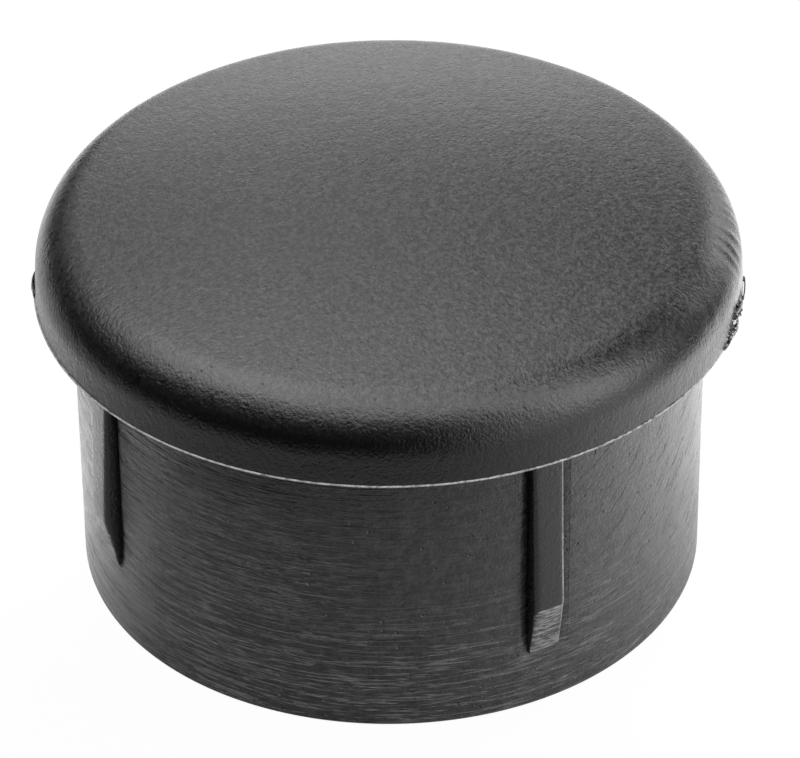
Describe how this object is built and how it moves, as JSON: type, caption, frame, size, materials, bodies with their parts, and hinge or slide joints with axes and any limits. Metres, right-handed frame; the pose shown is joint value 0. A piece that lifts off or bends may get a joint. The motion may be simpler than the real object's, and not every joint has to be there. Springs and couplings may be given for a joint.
{
  "type": "handle end cap",
  "caption": "Round push-in end cap for a tube handle: low domed head, hollow ribbed spigot and flat shoulder.",
  "frame": {"origin": "centre of the open end of the spigot, on the axis", "axes": "+Z along the axis from the open end to the domed head; -Y and -X point at two of the four ribs"},
  "size_m": [0.025, 0.025, 0.0156],
  "materials": {
    "black_plastic": "matte"
  },
  "bodies": {
    "root": {"end_cap": "black_plastic"}
  },
  "joints": []
}
